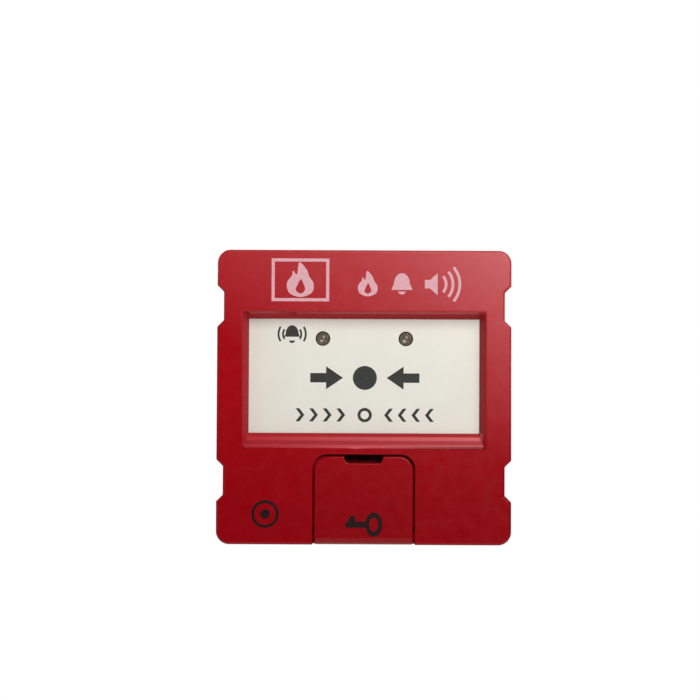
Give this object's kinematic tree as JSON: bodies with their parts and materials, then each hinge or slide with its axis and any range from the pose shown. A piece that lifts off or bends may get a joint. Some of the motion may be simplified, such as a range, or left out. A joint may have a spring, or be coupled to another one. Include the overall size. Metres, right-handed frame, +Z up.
{
  "type": "manual call point",
  "caption": "Square wall-mounted manual call point: recessed press panel with indicator lamps, key reset behind a hinged flap, notched casing on a screw-fixed back box.",
  "frame": {"origin": "centre of the wall screw pattern on the back face of the mounting base", "axes": "+Z up, +X to the right as seen from the front, +Y into the wall; the front faces -Y"},
  "size_m": [0.09, 0.044, 0.09],
  "materials": {
    "base_plastic": "matte",
    "terminal_plastic": "matte",
    "contact_brass": "satin",
    "screw_steel": "satin",
    "gasket_rubber": "matte",
    "cover_plastic": "satin",
    "board_laminate": "satin",
    "chip_plastic": "matte",
    "can_aluminium": "satin",
    "switch_plastic": "satin",
    "plunger_plastic": "satin",
    "spring_steel": "satin",
    "chassis_plastic": "satin",
    "lamp_resin": "gloss",
    "plate_plastic": "satin",
    "barrel_zinc": "satin",
    "casing_red": "satin",
    "flap_red": "satin"
  },
  "bodies": {
    "root": {"mounting_base": "base_plastic", "terminal_block": "terminal_plastic", "contact_strips": "contact_brass", "terminal_screws": "screw_steel", "sealing_gasket": "gasket_rubber", "rear_cover": "cover_plastic", "cover_screws": "screw_steel", "contact_blades": "contact_brass", "circuit_board": "board_laminate", "board_screws": "screw_steel", "control_chip": "chip_plastic", "capacitor": "can_aluminium", "resistors": "chip_plastic", "microswitch_body": "switch_plastic", "inner_chassis": "chassis_plastic", "chassis_screws": "screw_steel", "alarm_led": "lamp_resin", "status_led": "lamp_resin", "led_spacers": "chassis_plastic", "led_leads": "spring_steel", "return_spring_left": "spring_steel", "return_spring_right": "spring_steel", "latch_spring": "spring_steel", "latch_screw": "screw_steel", "front_casing": "casing_red", "locking_screw": "screw_steel", "flap_hinge_pin": "spring_steel"},
    "press_plate": {"press_plate": "plate_plastic"},
    "switch_lever": {"switch_lever": "spring_steel"},
    "switch_plunger": {"switch_plunger": "plunger_plastic"},
    "key_barrel": {"key_barrel": "barrel_zinc", "reset_cam": "chassis_plastic", "cam_screw": "screw_steel"},
    "reset_flap": {"reset_flap": "flap_red"}
  },
  "joints": [
    {"name": "plate_press", "type": "hinge", "parent": "root", "child": "press_plate", "pos_m": [0, -0.0366, 0.0265], "axis": [1, 0, 0], "range_deg": [0, 5], "stiffness_Nm_per_rad": 1, "deforming": ["return_spring_left", "return_spring_right", "latch_spring"]},
    {"name": "lever_tilt", "type": "hinge", "parent": "root", "child": "switch_lever", "pos_m": [-0.012, -0.0329, 0.002], "axis": [1, 0, 0], "range_deg": [0, 16.3]},
    {"name": "plunger_slide", "type": "slide", "parent": "root", "child": "switch_plunger", "axis": [0, 1, 0], "range_m": [0, 0.00086]},
    {"name": "key_turn", "type": "hinge", "parent": "root", "child": "key_barrel", "pos_m": [0, -0.033, -0.027], "axis": [0, 1, 0], "range_deg": [0, 90], "deforming": ["latch_spring"]},
    {"name": "flap_hinge", "type": "hinge", "parent": "root", "child": "reset_flap", "pos_m": [0, -0.0415, -0.0425], "axis": [1, 0, 0], "range_deg": [0, 110]}
  ],
  "couplings": [
    {"joint": "lever_tilt", "follows": "plate_press", "ratio": 3.24},
    {"joint": "plunger_slide", "follows": "plate_press", "m_per_rad": 0.00974}
  ]
}
